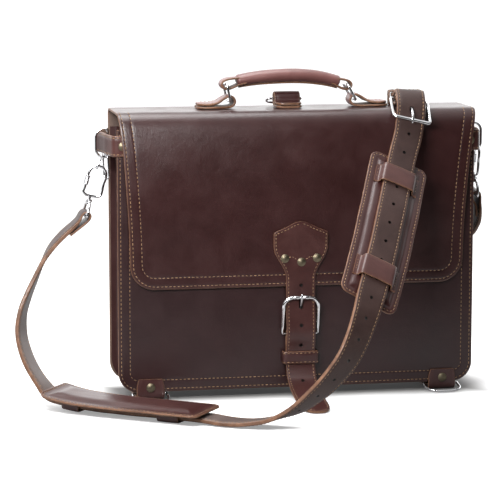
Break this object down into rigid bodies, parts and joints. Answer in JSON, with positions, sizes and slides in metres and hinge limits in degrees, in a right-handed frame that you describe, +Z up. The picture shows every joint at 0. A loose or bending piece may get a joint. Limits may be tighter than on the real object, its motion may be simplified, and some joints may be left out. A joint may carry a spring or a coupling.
{
  "type": "leather satchel bag",
  "caption": "Leather satchel with a fold-over flap, buckled closure strap, top handle on rings, and a clip-on shoulder strap with shoulder pads.",
  "frame": {"origin": "bottom centre of the bounding box of the whole object, strap included", "axes": "+X to the bag's right seen from the front, +Y to the back, +Z up"},
  "size_m": [0.5346, 0.3236, 0.3596],
  "materials": {
    "leather": "waxed dark chestnut, raw edges lighter brown",
    "strap_leather": "waxed grey-brown, raw edges lighter brown",
    "inner_leather": "unfinished flesh side",
    "chrome": "polished nickel",
    "rivet_metal": "aged"
  },
  "bodies": {
    "bag_body": {"front_panel": "leather", "back_panel": "leather", "gusset": "leather", "inner_divider": "inner_leather", "inner_pocket": "inner_leather", "side_tab_left": "leather", "side_tab_right": "leather", "bottom_tab_left": "leather", "bottom_tab_right": "leather", "side_rivet_left_front": "rivet_metal", "side_rivet_left_back": "rivet_metal", "side_rivet_right_front": "rivet_metal", "side_rivet_right_back": "rivet_metal", "bottom_rivet_left_front": "rivet_metal", "bottom_rivet_left_back": "rivet_metal", "bottom_rivet_right_front": "rivet_metal", "bottom_rivet_right_back": "rivet_metal", "buckle_chape": "leather", "closure_keeper": "leather", "strap_long": "strap_leather", "floor_pad": "leather", "floor_pad_loop_right": "leather", "floor_pad_loop_left": "leather"},
    "flap_body": {"flap": "leather", "closure_strap": "leather", "closure_rivet_left": "rivet_metal", "closure_rivet_middle": "rivet_metal", "closure_rivet_right": "rivet_metal", "handle_tab_left": "leather", "handle_tab_right": "leather", "top_ring_tab": "leather", "strap_short": "strap_leather", "strap_keeper": "leather", "shoulder_pad": "leather", "shoulder_pad_loop_upper": "leather", "shoulder_pad_loop_lower": "leather"},
    "side_ring_left": {"side_d_ring_left": "chrome"},
    "left_link_body": {"left_link": "chrome"},
    "left_drop_link_body": {"left_drop_link": "chrome"},
    "left_hook_body": {"left_hook_frame": "chrome"},
    "left_sleeve": {"left_hook_sleeve": "chrome"},
    "left_eye": {"left_hook_eye": "chrome"},
    "side_ring_right": {"side_d_ring_right": "chrome"},
    "right_hook_body": {"right_hook_frame": "chrome"},
    "right_sleeve": {"right_hook_sleeve": "chrome"},
    "right_eye": {"right_hook_eye": "chrome"},
    "bottom_ring_left": {"bottom_d_ring_left": "chrome"},
    "bottom_ring_right": {"bottom_d_ring_right": "chrome"},
    "closure_buckle": {"closure_buckle_frame": "chrome"},
    "closure_prong": {"closure_buckle_prong": "chrome"},
    "handle_ring_left_body": {"handle_ring_left": "chrome"},
    "handle_body": {"handle": "leather"},
    "handle_ring_right_body": {"handle_ring_right": "chrome"},
    "top_ring": {"top_d_ring": "chrome"},
    "strap_buckle": {"strap_buckle_frame": "chrome"},
    "strap_prong": {"strap_buckle_prong": "chrome"}
  },
  "joints": [
    {"name": "flap_hinge", "type": "hinge", "parent": "bag_body", "child": "flap_body", "pos_m": [0.04597, 0.12421, 0.3121], "axis": [-1, 0, 0], "range_deg": [0, 105], "deforming": ["closure_strap", "strap_long", "strap_short", "shoulder_pad", "shoulder_pad_loop_upper", "shoulder_pad_loop_lower"]},
    {"name": "closure_buckle_swing", "type": "hinge", "parent": "bag_body", "child": "closure_buckle", "pos_m": [0.04797, 0.04401, 0.0699], "axis": [1, 0, 0], "range_deg": [0, 70], "deforming": ["closure_strap"]},
    {"name": "closure_prong_swing", "type": "hinge", "parent": "closure_buckle", "child": "closure_prong", "pos_m": [0.04797, 0.04401, 0.0699], "axis": [1, 0, 0], "range_deg": [0, 35], "deforming": ["closure_strap"]},
    {"name": "handle_ring_left_sway", "type": "hinge", "parent": "flap_body", "child": "handle_ring_left_body", "pos_m": [-0.02463, 0.08591, 0.3251], "axis": [0, 1, 0], "range_deg": [-6, 6]},
    {"name": "handle_level", "type": "hinge", "parent": "handle_ring_left_body", "child": "handle_body", "pos_m": [-0.02823, 0.08591, 0.3437], "axis": [0, 1, 0], "range_deg": [-6, 6]},
    {"name": "handle_ring_right_sway", "type": "hinge", "parent": "handle_body", "child": "handle_ring_right_body", "pos_m": [0.10757, 0.08591, 0.3416], "axis": [0, 1, 0], "range_deg": [-6, 6]},
    {"name": "top_ring_swing", "type": "hinge", "parent": "flap_body", "child": "top_ring", "pos_m": [0.03917, 0.09111, 0.3267], "axis": [1, 0, 0], "range_deg": [0, 55]},
    {"name": "strap_buckle_swing", "type": "hinge", "parent": "flap_body", "child": "strap_buckle", "pos_m": [0.17347, 0.05931, 0.3255], "axis": [0.9876, -0.1251, -0.0951], "range_deg": [-50, 0], "deforming": ["strap_long", "strap_short"]},
    {"name": "strap_prong_swing", "type": "hinge", "parent": "strap_buckle", "child": "strap_prong", "pos_m": [0.17347, 0.05931, 0.3255], "axis": [0.9876, -0.1251, -0.0951], "range_deg": [-30, 0], "deforming": ["strap_long", "strap_short"]},
    {"name": "side_ring_left_swing", "type": "hinge", "parent": "bag_body", "child": "side_ring_left", "pos_m": [-0.15903, 0.08591, 0.2809], "axis": [0, 0, 1], "range_deg": [-20, 15], "deforming": ["strap_long"]},
    {"name": "left_link_swing", "type": "hinge", "parent": "side_ring_left", "child": "left_link_body", "pos_m": [-0.16643, 0.08561, 0.266], "axis": [0.9404, 0, -0.3401], "range_deg": [-8, 2], "deforming": ["strap_long"]},
    {"name": "left_hook_swing", "type": "hinge", "parent": "left_link_body", "child": "left_hook_body", "pos_m": [-0.17073, 0.08291, 0.2561], "axis": [-0.9656, 0, 0.26], "range_deg": [-8, 8], "deforming": ["strap_long"]},
    {"name": "left_sleeve_slide", "type": "slide", "parent": "left_hook_body", "child": "left_sleeve", "axis": [-0.26, 0, -0.9656], "range_m": [0, 0.007]},
    {"name": "left_eye_swivel", "type": "hinge", "parent": "left_hook_body", "child": "left_eye", "pos_m": [-0.17943, 0.08291, 0.2238], "axis": [-0.26, 0, -0.9656], "range_deg": [-15, 15], "deforming": ["strap_long"]},
    {"name": "left_drop_link_swing", "type": "hinge", "parent": "side_ring_left", "child": "left_drop_link_body", "pos_m": [-0.16163, 0.08591, 0.2655], "axis": [1, 0, 0], "range_deg": [-2, 10]},
    {"name": "side_ring_right_swing", "type": "hinge", "parent": "bag_body", "child": "side_ring_right", "pos_m": [0.25097, 0.08591, 0.2809], "axis": [0, 0, 1], "range_deg": [-10, 2], "deforming": ["strap_short"]},
    {"name": "right_hook_swing", "type": "hinge", "parent": "side_ring_right", "child": "right_hook_body", "pos_m": [0.25967, 0.08591, 0.2666], "axis": [0.8713, 0, 0.4907], "range_deg": [-6, 2], "deforming": ["strap_short"]},
    {"name": "right_sleeve_slide", "type": "slide", "parent": "right_hook_body", "child": "right_sleeve", "axis": [-0.03, 0.12, -0.9923], "range_m": [0, 0.007]},
    {"name": "right_eye_swivel", "type": "hinge", "parent": "right_hook_body", "child": "right_eye", "pos_m": [0.25867, 0.08991, 0.2383], "axis": [-0.03, 0.12, -0.9923], "range_deg": [-12, 12], "deforming": ["strap_short"]},
    {"name": "bottom_ring_left_swing", "type": "hinge", "parent": "bag_body", "child": "bottom_ring_left", "pos_m": [-0.11903, 0.05191, 0.0063], "axis": [1, 0, 0], "range_deg": [-18, 60]},
    {"name": "bottom_ring_right_swing", "type": "hinge", "parent": "bag_body", "child": "bottom_ring_right", "pos_m": [0.21097, 0.05191, 0.0063], "axis": [1, 0, 0], "range_deg": [-18, 60]}
  ],
  "couplings": [
    {"joint": "handle_level", "follows": "handle_ring_left_sway", "ratio": -1},
    {"joint": "handle_ring_right_sway", "follows": "handle_ring_left_sway", "ratio": 1}
  ]
}
